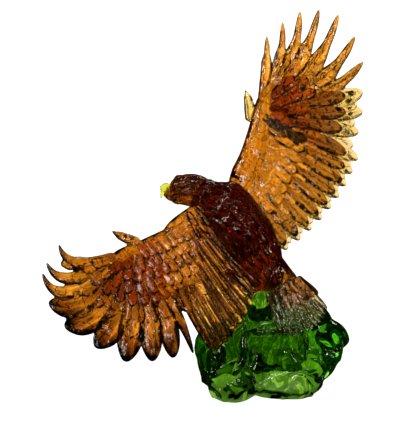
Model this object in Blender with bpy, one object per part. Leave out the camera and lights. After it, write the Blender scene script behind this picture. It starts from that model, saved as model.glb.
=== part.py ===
"""An eagle of cast amber glass, wheeling with its wings spread over a rock of green glass.

Metres, +Z up. The origin is on the underside of the rock, below the seat that carries the bird. +X is to the
right of someone who looks along +Y at the bird's back.
"""

import math

import bmesh
import bpy
from mathutils import Matrix, Vector, noise

MM = 0.001

# Joints between the castings: each is ground flat and bonded, with a film of this thickness in it.
BOND = 0.3 * MM

# The rock.
SEAT_HEIGHT = 134 * MM  # top of the spire, where the bird is bonded
SEAT_RADIUS = 20 * MM
SEAT_CENTRE = Vector((-3, 6, 0)) * MM
ROCK_GRAIN = 42 * MM  # size of the waves in the rock's surface
ROCK_WAVE = 5 * MM  # how far they rise and fall


def from_seat(x, y, z):
    """A point of the bird, in mm from the middle of the seat."""
    return SEAT_CENTRE + Vector((x * MM, y * MM, SEAT_HEIGHT + z * MM))


# The bird's body, as stations down its spine: place, half width across the back, half depth to the belly.
HEAD_PLACE = from_seat(-108, 35, 124)
HEAD_LENGTH = 44 * MM
HEAD_HEIGHT = 40 * MM
HEAD_WIDTH = 32 * MM
BEAK_LENGTH = 14 * MM
BEAK_DROP = 18 * MM
BEAK_WIDTH = 11 * MM
BODY_STATIONS = (
    (from_seat(-103, 35, 122), 14 * MM, 18 * MM),
    (from_seat(-79, 30, 116), 24 * MM, 25 * MM),
    (from_seat(-52, 20, 102), 38 * MM, 36 * MM),
    (from_seat(-24, 5, 68), 37 * MM, 37 * MM),
    (from_seat(-3, -6, 40), 30 * MM, 30 * MM),
    (from_seat(15, -15, 17), 24 * MM, 21 * MM),
)
BACK_NORMAL = Vector((0.44, -0.70, 0.57)).normalized()

# The tail: a fan of narrow feathers about a point inside the body.
TAIL_FEATHERS = 12
TAIL_HUB = from_seat(-10, -8, 69)
TAIL_FIRST_ANGLE = 15
TAIL_LAST_ANGLE = 48
TAIL_ROOT_RADIUS = 56 * MM
TAIL_REACH = 141 * MM
TAIL_ROUNDING = 9 * MM  # how much shorter the outer feathers are
TAIL_FEATHER_WIDTH = 9.5 * MM
TAIL_THICKNESS = 8 * MM
TAIL_JOINT_RADIUS = 70 * MM  # distance of the flat joint from the hub

# Solids are made of overlapping forms fused at this grain, then thinned to this many triangles.
FUSING_GRAIN = 2.2 * MM
ROCK_FUSING_GRAIN = 3.0 * MM
EAGLE_TRIANGLES = 6200
TAIL_TRIANGLES = 900
ROCK_TRIANGLES = 1700


class Wing:
    """One wing's sheet: u runs out along the arm, v back to the trailing edge, h up off the dorsal side."""

    def __init__(self, root, wrist, dorsal, camber, curl):
        self.root = root
        self.arm = (wrist - root).length
        self.out = (wrist - root).normalized()
        self.dorsal = dorsal.normalized()
        back = self.dorsal.cross(self.out)
        self.back = back if back.z < 0 else -back
        self.camber = camber
        self.curl = curl

    def at(self, u, v, h):
        """The point in space, with the chord bowed down towards its trailing edge and the tips bowed up."""
        bow = -self.camber * (v / (150 * MM)) ** 2
        if u > self.arm:
            bow += self.curl * ((u - self.arm) / (150 * MM)) ** 2
        return self.root + self.out * u + self.back * v + self.dorsal * (h + bow)

    def from_wrist(self, degrees, reach):
        angle = math.radians(degrees)
        return self.arm + reach * math.cos(angle), reach * math.sin(angle)


def smooth(low, high, x):
    """0 at low, 1 at high, eased between."""
    t = min(1.0, max(0.0, (x - low) / (high - low)))
    return t * t * (3 - 2 * t)


def curve_through(stations, t):
    """A value read off a short list of (share, value) stations, eased between them."""
    for (t0, v0), (t1, v1) in zip(stations, stations[1:]):
        if t <= t1:
            return v0 + (v1 - v0) * smooth(t0, t1, t)
    return stations[-1][1]


def rounded_ends(t, root_round, tip_round):
    """1 along a feather, falling to 0 at its two ends as a round end does."""
    value = 1.0
    if t < root_round:
        value = math.sqrt(max(0.0, 1 - (1 - t / root_round) ** 2))
    if t > 1 - tip_round:
        value = math.sqrt(max(0.0, 1 - (1 - (1 - t) / tip_round) ** 2))
    return value


FINGER = ((0.0, 0.6), (0.35, 0.9), (0.58, 1.0), (0.8, 0.5), (1.0, 0.34))
SICKLE = ((0.0, 0.9), (0.3, 1.0), (0.6, 0.85), (1.0, 0.3))
PADDLE = ((0.0, 0.6), (0.35, 0.85), (0.75, 1.0), (1.0, 0.72))


def feather(bm, wing, root, tip, half_width, thickness, shape, knee=(0.5, 0), tilt=0.1, rise=0.0, layer=0.0):
    """One closed blade on a wing's sheet, from root to tip, both (u, v). knee is the point it bows towards, as
    shares of its length along and across, tilt lifts its trailing side, rise lifts its tip, and layer lifts all
    of it off the sheet."""
    made = bmesh.ops.create_uvsphere(bm, u_segments=8, v_segments=12, radius=1)["verts"]
    root, tip = Vector(root), Vector(tip)
    along = tip - root
    length = along.length
    across = Vector((-along.y, along.x)) / length
    knee = root + along * knee[0] + across * knee[1] * length
    tip_round = min(0.45, half_width / length * (1.3 if shape is PADDLE else 1.8))
    for vert in made:
        t = (1 - vert.co.z) / 2
        turn = math.atan2(vert.co.y, vert.co.x)
        at_pole = abs(vert.co.z) > 0.9999
        s, k = (0.0, 0.0) if at_pole else (math.cos(turn), math.sin(turn))
        centre = root * (1 - t) ** 2 + knee * 2 * t * (1 - t) + tip * t * t
        heading = ((knee - root) * (1 - t) + (tip - knee) * t).normalized()
        side = Vector((-heading.y, heading.x))
        fullness = rounded_ends(t, 0.08, tip_round)
        width = half_width * curve_through(shape, t) * fullness
        half_thick = thickness / 2 * (1.15 - 0.4 * t) * fullness ** 0.5
        spot = centre + side * s * width
        vert.co = wing.at(spot.x, spot.y, layer + k * half_thick + tilt * s * width + rise * t * t)
    return made


def limb(bm, stations, up, sides=16, rings=14):
    """A closed round form along stations of (place, half width, half height), its height towards up."""
    made = bmesh.ops.create_uvsphere(bm, u_segments=sides, v_segments=rings, radius=1)["verts"]
    last = len(stations) - 1
    for vert in made:
        t = (1 - vert.co.z) / 2 * last
        i = min(int(t), last - 1)
        f = t - i
        here, ahead = stations[i], stations[i + 1]
        before, after = stations[max(0, i - 1)][0], stations[min(last, i + 2)][0]
        centre = catmull(before, here[0], ahead[0], after, f)
        heading = (ahead[0] - here[0]).normalized().lerp((after - before).normalized(), 0.5)
        side = heading.cross(up).normalized()
        top = side.cross(heading).normalized()
        ring = math.hypot(vert.co.x, vert.co.y)
        swell = min(1.0, ring * 1.25) / max(ring, 1e-6)
        half_width = here[1] + (ahead[1] - here[1]) * smooth(0, 1, f)
        half_height = here[2] + (ahead[2] - here[2]) * smooth(0, 1, f)
        vert.co = centre + (side * vert.co.x * half_width + top * vert.co.y * half_height) * swell
    return made


def catmull(a, b, c, d, f):
    """The point at share f of the way from b to c on a smooth curve that comes from a and goes on to d."""
    square = a * 2 - b * 5 + c * 4 - d
    cube = b * 3 - a - c * 3 + d
    return (b * 2 + (c - a) * f + square * f ** 2 + cube * f ** 3) / 2


def lobe(bm, centre, radii, turn=0.0):
    """An ellipsoid of rock, turned about the vertical."""
    place = Matrix.Translation(Vector(centre) * MM) @ Matrix.Rotation(math.radians(turn), 4, "Z")
    shape = Matrix.Diagonal((*[r * MM for r in radii], 1))
    return bmesh.ops.create_icosphere(bm, subdivisions=3, radius=1, matrix=place @ shape)["verts"]


def glass(name, colour, roughness):
    """Clear coloured glass."""
    material = bpy.data.materials.new(name)
    material.use_nodes = True
    shader = material.node_tree.nodes["Principled BSDF"]
    shader.inputs["Base Color"].default_value = (*colour, 1)
    shader.inputs["Roughness"].default_value = roughness
    shader.inputs["Metallic"].default_value = 0
    shader.inputs["Transmission Weight"].default_value = 1
    shader.inputs["IOR"].default_value = 1.5
    material.diffuse_color = (*colour, 1)
    return material


def add_object(name, bm, material):
    mesh = bpy.data.meshes.new(name)
    bm.to_mesh(mesh)
    bm.free()
    mesh.materials.append(material)
    made = bpy.data.objects.new(name, mesh)
    bpy.context.scene.collection.objects.link(made)
    return made


def fused(made, grain, melt=0):
    """Replaces an object's overlapping forms by the one closed surface round them, softened melt times."""
    remesh = made.modifiers.new("fuse", "REMESH")
    remesh.mode = "VOXEL"
    remesh.voxel_size = grain
    if melt:
        soften = made.modifiers.new("melt", "SMOOTH")
        soften.factor = 0.5
        soften.iterations = melt
    bpy.context.view_layer.update()
    graph = bpy.context.evaluated_depsgraph_get()
    mesh = bpy.data.meshes.new_from_object(made.evaluated_get(graph))
    made.modifiers.clear()
    old, made.data = made.data, mesh
    bpy.data.meshes.remove(old)
    return made


def thinned(made, triangles):
    """Thins a fused surface to about this many triangles."""
    decimate = made.modifiers.new("thin", "DECIMATE")
    decimate.ratio = min(1.0, triangles / (2 * len(made.data.polygons)))
    return made


def cutter(name, size, place):
    """A box for a Boolean cut, left out of the model itself. Its low X side is the cutting face."""
    bm = bmesh.new()
    shape = Matrix.Diagonal((*size, 1)) @ Matrix.Translation((0.5, 0, 0))
    bmesh.ops.create_cube(bm, size=1, matrix=place @ shape)
    mesh = bpy.data.meshes.new(name)
    bm.to_mesh(mesh)
    bm.free()
    made = bpy.data.objects.new(name, mesh)
    bpy.context.scene.collection.objects.link(made)
    made.hide_render = True
    made.display_type = "WIRE"
    return made


def cut(made, tool):
    boolean = made.modifiers.new("cut by " + tool.name, "BOOLEAN")
    boolean.operation = "DIFFERENCE"
    boolean.object = tool


def facing(point, direction, up):
    """A frame at point whose X axis is direction."""
    x = direction.normalized()
    y = up.cross(x).normalized()
    z = x.cross(y)
    return Matrix.Translation(point) @ Matrix((x, y, z)).transposed().to_4x4()


# The far wing is the bird's right one, raised; the near wing is its left one, lowered towards the front.
FAR_WING = Wing(
    root=from_seat(-54, 48, 138),
    wrist=from_seat(-18, 111, 215),
    dorsal=Vector((0.34, -0.80, 0.50)),
    camber=12 * MM,
    curl=8 * MM,
)
NEAR_WING = Wing(
    root=from_seat(-94, 5, 102),
    wrist=from_seat(-177, -66, 79),
    dorsal=Vector((0.46, -0.71, 0.53)),
    camber=14 * MM,
    curl=9 * MM,
)
# Primaries, from the leading edge in: angle about the wrist in degrees, reach and half width in mm, outline, and
# the point they bow towards.
FAR_PRIMARIES = (
    (-9, 113, 8, FINGER, (0.5, 0.09)),
    (-2, 141, 9, FINGER, (0.5, 0.18)),
    (4, 168, 11, FINGER, (0.5, 0.2)),
    (11, 187, 11, FINGER, (0.5, 0.17)),
    (18.5, 202, 12, FINGER, (0.5, 0.21)),
    (29.5, 202, 13, FINGER, (0.5, 0.21)),
    (40, 195, 14, FINGER, (0.5, 0.18)),
    (52, 179, 14, PADDLE, (0.5, 0.05)),
    (61, 174, 13, PADDLE, (0.5, 0)),
    (71, 167, 13, PADDLE, (0.5, 0)),
)
NEAR_PRIMARIES = (
    (-21, 101, 9, SICKLE, (0.87, 0.46)),
    (-10, 126, 10, SICKLE, (0.92, 0.42)),
    (-5, 138, 11, SICKLE, (1.0, 0.5)),
    (9, 152, 16, PADDLE, (0.7, 0.36)),
    (22, 157, 18, PADDLE, (0.6, 0.32)),
    (40, 154, 19, PADDLE, (0.5, 0.22)),
    (57, 158, 19, PADDLE, (0.5, 0.1)),
    (72, 156, 17, PADDLE, (0.5, 0.1)),
    (84, 158, 15, PADDLE, (0.5, 0.16)),
    (95, 165, 9, SICKLE, (0.5, 0.12)),
)
# Secondaries: how many, where their tips start and end along the arm, how far back the first and last are, and
# where the first and last root sits along the arm.
FAR_SECONDARIES = (9, 125, -50, 172, 120, 0.94, 0.1)
NEAR_SECONDARIES = (10, 63, -28, 175, 128, 0.7, 0.04)


def primaries(bm, wing, fan, thickness):
    """The flight feathers of the hand, fanned about the wrist."""
    last = len(fan) - 1
    for i, (degrees, reach, half_width, shape, knee) in enumerate(fan):
        share = i / last
        root = (wing.arm + (22 - 22 * share) * MM, (9 + 12 * share) * MM)
        tip = wing.from_wrist(degrees, reach * MM)
        feather(bm, wing, root, tip, half_width * MM, thickness, shape, knee=knee, rise=3 * MM)


def secondary_root(wing, row, share):
    return wing.arm * (row[5] + (row[6] - row[5]) * share)


def secondaries(bm, wing, row, half_width, thickness, fold=0.0):
    """The flight feathers of the forearm, side by side to the body, where their tips lie fold higher."""
    count, first_u, last_u, first_v, last_v = row[:5]
    for i in range(count):
        share = i / (count - 1)
        root = (secondary_root(wing, row, share), 24 * MM)
        tip = ((first_u + (last_u - first_u) * share) * MM, (first_v + (last_v - first_v) * share ** 2) * MM)
        feather(
            bm, wing, root, tip, half_width, thickness, PADDLE, knee=(0.5, -0.03), rise=fold * 0.5 * share ** 2,
            layer=1.5 * MM + fold * 0.5 * share ** 2,
        )


def coverts(bm, wing, row):
    """Two rows of shorter feathers over the flight feathers."""
    count, _, last_u = row[:3]
    for reach, back, half_width, layer in ((98, 88, 15, 4), (66, 58, 13, 7)):
        for i in range(0, count, 2):
            share = i / (count - 1)
            start = secondary_root(wing, row, share)
            tip = (start + (last_u * 0.5 * MM - start) * share * 0.8, back * MM)
            feather(
                bm, wing, (start, 12 * MM), tip, half_width * MM, 5 * MM, PADDLE, tilt=0.14, layer=layer * MM,
            )
        for degrees in (12, 32, 52, 72):
            tip = wing.from_wrist(degrees, reach * MM)
            feather(
                bm, wing, (wing.arm + 4 * MM, 10 * MM), tip, half_width * MM, 5 * MM, PADDLE, tilt=0.14,
                layer=(layer - 1) * MM,
            )


def arm(bm, wing, leading):
    """The thick leading edge, shoulder to wrist and out along the hand, and the sheet behind it."""
    points = (
        (wing.at(-14 * MM, 22 * MM, 0), 20 * MM, 12 * MM),
        (wing.at(wing.arm * 0.45, leading + 17 * MM, 3 * MM), 17 * MM, 10 * MM),
        (wing.at(wing.arm, leading * 0.5 + 15 * MM, 3 * MM), 15 * MM, 8.5 * MM),
        (wing.at(wing.arm + 48 * MM, 11 * MM, 2 * MM), 9 * MM, 6 * MM),
    )
    limb(bm, points, wing.dorsal, sides=12, rings=12)
    web = (
        (wing.at(-20 * MM, 50 * MM, 0), 40 * MM, 7 * MM),
        (wing.at(wing.arm * 0.6, 55 * MM, 0), 40 * MM, 6 * MM),
        (wing.at(wing.arm * 1.3, 40 * MM, 0), 34 * MM, 5 * MM),
    )
    limb(bm, web, wing.dorsal, sides=12, rings=10)


def thumb(bm, wing, degrees, reach):
    feather(
        bm, wing, (wing.arm - 14 * MM, 6 * MM), wing.from_wrist(degrees, reach * MM), 8 * MM, 8 * MM, SICKLE,
        knee=(0.6, 0.1), layer=3 * MM,
    )


def body(bm):
    limb(bm, BODY_STATIONS, BACK_NORMAL, sides=20, rings=22)
    belly = (
        (from_seat(-23, 8, 51), 26 * MM, 26 * MM),
        (from_seat(-7, 2, 21), 26 * MM, 25 * MM),
        (from_seat(0, 0, -12), SEAT_RADIUS, SEAT_RADIUS),
    )
    limb(bm, belly, Vector((0, -1, 0)))
    _, _, lift = tail_frame()
    middle = tail_direction((TAIL_FIRST_ANGLE + TAIL_LAST_ANGLE) / 2)
    rump = (
        (TAIL_HUB - lift * 16 * MM, 18 * MM, 20 * MM),
        (TAIL_HUB + middle * TAIL_JOINT_RADIUS * 0.65 - lift * 4 * MM, 20 * MM, 16 * MM),
        (TAIL_HUB + middle * TAIL_JOINT_RADIUS * 1.15, 24 * MM, 7 * MM),
    )
    limb(bm, rump, lift)


def head(bm):
    """Skull, cheeks and brow, level and facing -X, down to the flat where the beak is bonded."""
    x, y, z = Vector((1, 0, 0)), Vector((0, 1, 0)), Vector((0, 0, 1))
    skull = (
        (HEAD_PLACE + x * HEAD_LENGTH * 0.9 - z * 8 * MM, HEAD_WIDTH * 0.8, HEAD_HEIGHT * 0.66),
        (HEAD_PLACE + x * HEAD_LENGTH * 0.3 - z * 1 * MM, HEAD_WIDTH * 0.55, HEAD_HEIGHT * 0.54),
        (HEAD_PLACE - x * HEAD_LENGTH * 0.1, HEAD_WIDTH * 0.5, HEAD_HEIGHT * 0.48),
        (HEAD_PLACE - x * HEAD_LENGTH * 0.42 - z * 1 * MM, HEAD_WIDTH * 0.34, HEAD_HEIGHT * 0.34),
        (HEAD_PLACE - x * HEAD_LENGTH * 0.62 - z * 3 * MM, HEAD_WIDTH * 0.16, HEAD_HEIGHT * 0.2),
    )
    limb(bm, skull, z, sides=16, rings=18)
    for side in (-1, 1):
        out = y * side * HEAD_WIDTH
        brow = (
            (HEAD_PLACE - x * HEAD_LENGTH * 0.4 + out * 0.22 + z * HEAD_HEIGHT * 0.16, 4 * MM, 3 * MM),
            (HEAD_PLACE - x * HEAD_LENGTH * 0.1 + out * 0.36 + z * HEAD_HEIGHT * 0.28, 4 * MM, 4 * MM),
            (HEAD_PLACE + x * HEAD_LENGTH * 0.2 + out * 0.38 + z * HEAD_HEIGHT * 0.26, 3 * MM, 3 * MM),
        )
        limb(bm, brow, z, sides=8, rings=8)


def beak_joint():
    """The plane where the beak is bonded: a point, and the direction out of the face."""
    return HEAD_PLACE + Vector((-HEAD_LENGTH * 0.44, 0, 3 * MM)), Vector((-0.84, 0, 0.54)).normalized()


def build_beak(material):
    """A hooked upper bill with a short lower one."""
    point, out = beak_joint()
    x, z = Vector((1, 0, 0)), Vector((0, 0, 1))
    bm = bmesh.new()
    hook = (
        (point + x * 5 * MM - z * 1 * MM, BEAK_WIDTH * 0.5, BEAK_WIDTH * 0.5),
        (point - x * BEAK_LENGTH * 0.45, BEAK_WIDTH * 0.42, BEAK_WIDTH * 0.52),
        (point - x * BEAK_LENGTH * 0.72 - z * BEAK_DROP * 0.35, BEAK_WIDTH * 0.3, BEAK_WIDTH * 0.32),
        (point - x * BEAK_LENGTH * 0.68 - z * BEAK_DROP * 0.86, BEAK_WIDTH * 0.1, BEAK_WIDTH * 0.12),
    )
    limb(bm, hook, Vector((0, 1, 0)), sides=12, rings=12)
    lower = (
        (point + x * 5 * MM - z * BEAK_DROP * 0.32, BEAK_WIDTH * 0.36, BEAK_WIDTH * 0.3),
        (point - x * BEAK_LENGTH * 0.3 - z * BEAK_DROP * 0.3, BEAK_WIDTH * 0.24, BEAK_WIDTH * 0.2),
    )
    limb(bm, lower, Vector((0, 1, 0)), sides=12, rings=8)
    beak = fused(add_object("beak", bm, material), 0.7 * MM)
    thinned(beak, 420)
    behind = cutter("beak_back", (0.03, 0.06, 0.06), facing(point + out * BOND, -out, Vector((0, 1, 0))))
    cut(beak, behind)
    return beak


def tail_frame():
    """Unit vectors of the tail's fan: straight down the fan at 0 degrees, to its right, and up off its back."""
    down = Vector((0.0, -0.515, -0.857)).normalized()
    lift = Vector((0.26, -0.84, 0.48)).normalized()
    right = down.cross(lift).normalized()
    if right.x < 0:
        right = -right
    return down, right, right.cross(down) * (1 if right.cross(down).dot(lift) > 0 else -1)


def tail_direction(degrees):
    down, right, _ = tail_frame()
    angle = math.radians(degrees)
    return down * math.cos(angle) + right * math.sin(angle)


def build_tail(material):
    middle = (TAIL_FIRST_ANGLE + TAIL_LAST_ANGLE) / 2
    _, _, lift = tail_frame()
    bm = bmesh.new()
    for i in range(TAIL_FEATHERS):
        degrees = TAIL_FIRST_ANGLE + (TAIL_LAST_ANGLE - TAIL_FIRST_ANGLE) * i / (TAIL_FEATHERS - 1)
        off = abs(degrees - middle) / (middle - TAIL_FIRST_ANGLE)
        direction = tail_direction(degrees)
        reach = TAIL_REACH - TAIL_ROUNDING * off ** 2
        hub = TAIL_HUB + lift * (-5 * MM * off ** 2 + (1.2 * MM if i % 2 else 0))
        middle_reach = (TAIL_ROOT_RADIUS + reach) / 2
        stations = (
            (hub + direction * TAIL_ROOT_RADIUS, TAIL_FEATHER_WIDTH * 0.45, TAIL_THICKNESS * 0.7),
            (hub + direction * middle_reach, TAIL_FEATHER_WIDTH * 0.55, TAIL_THICKNESS * 0.5),
            (hub + direction * reach, TAIL_FEATHER_WIDTH * 0.4, TAIL_THICKNESS * 0.36),
        )
        limb(bm, stations, lift, sides=8, rings=10)
    tail = fused(add_object("tail", bm, material), 1.5 * MM)
    thinned(tail, TAIL_TRIANGLES)
    point = TAIL_HUB + tail_direction(middle) * (TAIL_JOINT_RADIUS + BOND)
    cut(tail, cutter("tail_front", (0.05, 0.12, 0.12), facing(point, -tail_direction(middle), lift)))
    return tail


def build_eagle(material):
    bm = bmesh.new()
    body(bm)
    head(bm)
    arm(bm, FAR_WING, 9 * MM)
    arm(bm, NEAR_WING, 4 * MM)
    coverts(bm, FAR_WING, FAR_SECONDARIES)
    coverts(bm, NEAR_WING, NEAR_SECONDARIES)
    primaries(bm, FAR_WING, FAR_PRIMARIES, 7 * MM)
    primaries(bm, NEAR_WING, NEAR_PRIMARIES, 8 * MM)
    secondaries(bm, FAR_WING, FAR_SECONDARIES, 13 * MM, 6 * MM)
    secondaries(bm, NEAR_WING, NEAR_SECONDARIES, 9.5 * MM, 8 * MM, fold=20 * MM)
    thumb(bm, FAR_WING, -34, 30)
    thumb(bm, NEAR_WING, -59, 27)
    eagle = fused(add_object("eagle", bm, material), FUSING_GRAIN)
    thinned(eagle, EAGLE_TRIANGLES)
    point, out = beak_joint()
    cut(eagle, cutter("face_flat", (0.03, 0.05, 0.05), facing(point, out, Vector((0, 1, 0)))))
    middle = (TAIL_FIRST_ANGLE + TAIL_LAST_ANGLE) / 2
    _, _, lift = tail_frame()
    rump = TAIL_HUB + tail_direction(middle) * TAIL_JOINT_RADIUS
    cut(eagle, cutter("rump_flat", (0.04, 0.085, 0.06), facing(rump, tail_direction(middle), lift)))
    seat = from_seat(0, 0, 0) + Vector((0, 0, BOND))
    cut(eagle, cutter("belly_flat", (0.05, 0.056, 0.056), facing(seat, Vector((0, 0, -1)), Vector((0, 1, 0)))))
    return eagle


# Lobes of the rock: centre and radii in mm, and a turn about the vertical in degrees.
ROCK_LOBES = (
    ((8, 10, 42), (68, 50, 50), 0),
    ((14, -20, 56), (46, 26, 36), 0),
    ((14, -26, 30), (56, 32, 42), 0),
    ((20, -36, 14), (58, 32, 24), 0),
    ((-44, -44, 14), (33, 36, 30), 20),
    ((-64, -20, 36), (27, 36, 34), -15),
    ((-64, -2, 52), (29, 38, 34), -15),
    ((60, 16, 74), (32, 36, 38), 20),
    ((78, 4, 64), (34, 30, 26), -10),
    ((56, -16, 30), (26, 34, 36), 0),
    ((0, 42, 50), (64, 36, 42), 0),
    ((54, 34, 36), (34, 34, 44), 0),
    ((-48, 34, 36), (32, 34, 40), 0),
)
# Hollows and ridges drawn in the soft glass: where, how far they reach, and which way they move it, all in mm.
ROCK_PULLS = (
    ((-50, -50, 48), 40, (6, 17, -2)),
    ((-18, -66, 6), 28, (0, 13, 0)),
    ((16, -62, 42), 34, (0, 10, 0)),
    ((62, -36, 54), 30, (-6, 10, 0)),
    ((-34, -34, 84), 22, (-2, -5, 5)),
    ((52, -40, 84), 18, (2, -6, 3)),
    ((98, -8, 30), 30, (-9, 4, 0)),
    ((20, 84, 40), 40, (0, -14, 0)),
    ((-60, 60, 70), 34, (8, -8, 0)),
)


def build_rock(material):
    """A lump of green glass in melted lobes and ledges, rising to the seat under the bird."""
    bm = bmesh.new()
    for centre, radii, turn in ROCK_LOBES:
        lobe(bm, centre, radii, turn)
    spire = (
        (Vector((6, 6, 40)) * MM, 46 * MM, 40 * MM),
        (Vector((2, 6, 88)) * MM, 34 * MM, 28 * MM),
        (from_seat(0, 0, 14), SEAT_RADIUS * 1.15, SEAT_RADIUS * 1.15),
    )
    limb(bm, spire, Vector((0, -1, 0)))
    rock = fused(add_object("rock_base", bm, material), ROCK_FUSING_GRAIN, melt=6)
    for vert in rock.data.vertices:
        place = vert.co.copy()
        for centre, reach, move in ROCK_PULLS:
            near = (place - Vector(centre) * MM).length / (reach * MM)
            vert.co += Vector(move) * MM * (1 - smooth(0, 1, near))
        grain = Vector((place.x, place.y, place.z * 0.5)) / ROCK_GRAIN
        calm = smooth(SEAT_HEIGHT, SEAT_HEIGHT * 0.75, place.z)
        vert.co += vert.normal * ROCK_WAVE * noise.noise(grain) * calm
    thinned(rock, ROCK_TRIANGLES)
    cut(rock, cutter("foot_flat", (0.1, 0.4, 0.4), facing(Vector(), Vector((0, 0, -1)), Vector((0, 1, 0)))))
    seat = facing(from_seat(0, 0, 0), Vector((0, 0, 1)), Vector((0, 1, 0)))
    cut(rock, cutter("seat_flat", (0.1, 0.2, 0.2), seat))
    return rock


def main():
    for old in list(bpy.data.objects):
        bpy.data.objects.remove(old)
    amber = glass("amber glass", (0.62, 0.27, 0.05), 0.04)
    build_eagle(amber)
    build_tail(glass("straw glass", (0.86, 0.78, 0.5), 0.04))
    build_beak(glass("yellow glass", (0.82, 0.78, 0.2), 0.08))
    build_rock(glass("green glass", (0.05, 0.5, 0.08), 0.05))


main()
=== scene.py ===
import math

import bmesh
import bpy
from mathutils import Matrix, Vector, noise


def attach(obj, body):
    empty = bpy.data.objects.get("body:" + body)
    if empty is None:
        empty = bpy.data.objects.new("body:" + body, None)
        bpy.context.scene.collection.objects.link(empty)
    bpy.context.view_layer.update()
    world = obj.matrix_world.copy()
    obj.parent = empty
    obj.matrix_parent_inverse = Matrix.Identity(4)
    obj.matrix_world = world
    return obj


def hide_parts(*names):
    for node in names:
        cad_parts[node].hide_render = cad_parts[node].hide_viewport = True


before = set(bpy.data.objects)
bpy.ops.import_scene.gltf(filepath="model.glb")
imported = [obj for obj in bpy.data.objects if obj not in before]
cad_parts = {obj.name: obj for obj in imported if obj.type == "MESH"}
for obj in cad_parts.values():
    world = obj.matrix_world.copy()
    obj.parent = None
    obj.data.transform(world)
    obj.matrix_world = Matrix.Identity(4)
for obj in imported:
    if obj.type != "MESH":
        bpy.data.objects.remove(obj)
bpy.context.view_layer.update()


# The view.
# A long lens looks across the bird's back and 15 degrees down, far enough off that the wings keep their true
# proportions.

MM = 0.001
LENS = 162.8
CAMERA_PLACE = (-0.077, -2.452, 0.8946)
CAMERA_TILT = 75

camera_data = bpy.data.cameras.new("camera")
camera_data.lens = LENS
camera_data.sensor_width = 36
camera = bpy.data.objects.new("camera", camera_data)
bpy.context.scene.collection.objects.link(camera)
camera.location = CAMERA_PLACE
camera.rotation_euler = (math.radians(CAMERA_TILT), 0, 0)
bpy.context.scene.camera = camera
bpy.context.scene.view_settings.view_transform = "Standard"


# The studio.
# A very wide sheet of white card with no edge in view, a pale room, and soft boxes that give the glass its
# highlights.


def new_material(name):
    """A material with its Principled shader and its output, ready for nodes."""
    material = bpy.data.materials.new(name)
    material.use_nodes = True
    tree = material.node_tree
    return material, tree, tree.nodes["Principled BSDF"], tree.nodes["Material Output"]


def set_inputs(node, values):
    """Sets the node's inputs to these values, by name."""
    for name, value in values.items():
        node.inputs[name].default_value = value


def add_node(tree, kind, values=()):
    """A new shader node of this kind with these input values."""
    node = tree.nodes.new("ShaderNode" + kind)
    set_inputs(node, dict(values))
    return node


def wire(source, output, target, socket):
    """Links one node's output to another's input."""
    source.id_data.links.new(source.outputs[output], target.inputs[socket])


def soft_box(name, place, target, size, power):
    light = bpy.data.lights.new(name, "AREA")
    light.shape = "RECTANGLE"
    light.size, light.size_y = size
    light.energy = power
    made = bpy.data.objects.new(name, light)
    bpy.context.scene.collection.objects.link(made)
    made.location = place
    made.rotation_euler = (Vector(target) - Vector(place)).to_track_quat("-Z", "Y").to_euler()
    return made


card, tree, shader, _ = new_material("white card")
set_inputs(shader, {
    "Base Color": (0.6, 0.6, 0.6, 1),
    "Emission Color": (1, 1, 1, 1),
    "Emission Strength": 0.95,
    "Roughness": 0.9,
    "Specular IOR Level": 0.1,
})
CARD_REACH = 14
CARD_HEIGHT = 0.2 * MM

bm = bmesh.new()
bmesh.ops.create_grid(bm, x_segments=4, y_segments=4, size=CARD_REACH,
                      matrix=Matrix.Translation((0, 0, CARD_HEIGHT)))
mesh = bpy.data.meshes.new("card_sheet")
bm.to_mesh(mesh)
bm.free()
mesh.materials.append(card)
sheet = bpy.data.objects.new("card_sheet", mesh)
bpy.context.scene.collection.objects.link(sheet)
sheet.visible_glossy = False

# Narrow black flags stand in a ring, seen only through the glass, and give its ripples their dark lines.
FLAGS = 12
FLAG_TURN = 19
FLAG_RING = 1.1
FLAG_MIDDLE = 0.3
FLAG_HALF_SIZE = (0.055, 0.9)
black, tree, shader, _ = new_material("flag black")
set_inputs(shader, {"Base Color": (0.01, 0.01, 0.01, 1), "Roughness": 1})
bm = bmesh.new()
for i in range(FLAGS):
    turn = Matrix.Rotation(math.radians(360 / FLAGS * i + FLAG_TURN), 4, "Z")
    stand = Matrix.Translation((0, FLAG_RING, FLAG_MIDDLE)) @ Matrix.Rotation(math.radians(90), 4, "X")
    bmesh.ops.create_grid(bm, x_segments=1, y_segments=1, size=1,
                          matrix=turn @ stand @ Matrix.Diagonal((*FLAG_HALF_SIZE, 1, 1)))
mesh = bpy.data.meshes.new("black_flags")
bm.to_mesh(mesh)
bm.free()
mesh.materials.append(black)
flags = bpy.data.objects.new("black_flags", mesh)
bpy.context.scene.collection.objects.link(flags)
flags.visible_camera = False
flags.visible_diffuse = False
flags.visible_glossy = False
flags.visible_shadow = False

world = bpy.data.worlds.new("room")
world.use_nodes = True
set_inputs(world.node_tree.nodes["Background"], {"Color": (0.95, 0.97, 1, 1), "Strength": 0.45})
bpy.context.scene.world = world
world.cycles_visibility.glossy = False

# The large box lights the card alone, and the strips only show as glints in the glass. The card and room
# are kept out of reflections, as black cloth round the bird would keep them.
top_box = soft_box("top_box", (0, 1.6, 4.5), (0, 1.6, 0), (7, 7), 90)
top_box.visible_glossy = False
top_box.visible_transmission = False
for name, place, size, power in (
    ("right_box", (1.3, -1.45, 1.5), (0.4, 0.6), 8),
    ("left_box", (-1.4, -1.6, 1.5), (0.3, 0.9), 20),
    ("crown_strip", (-0.3, -1.0, 2.3), (0.8, 0.16), 11),
    ("back_strip", (0.5, 2.2, 1.3), (0.8, 0.2), 5),
):
    strip = soft_box(name, place, (0, 0, 0.25), size, power)
    strip.visible_diffuse = False


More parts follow.
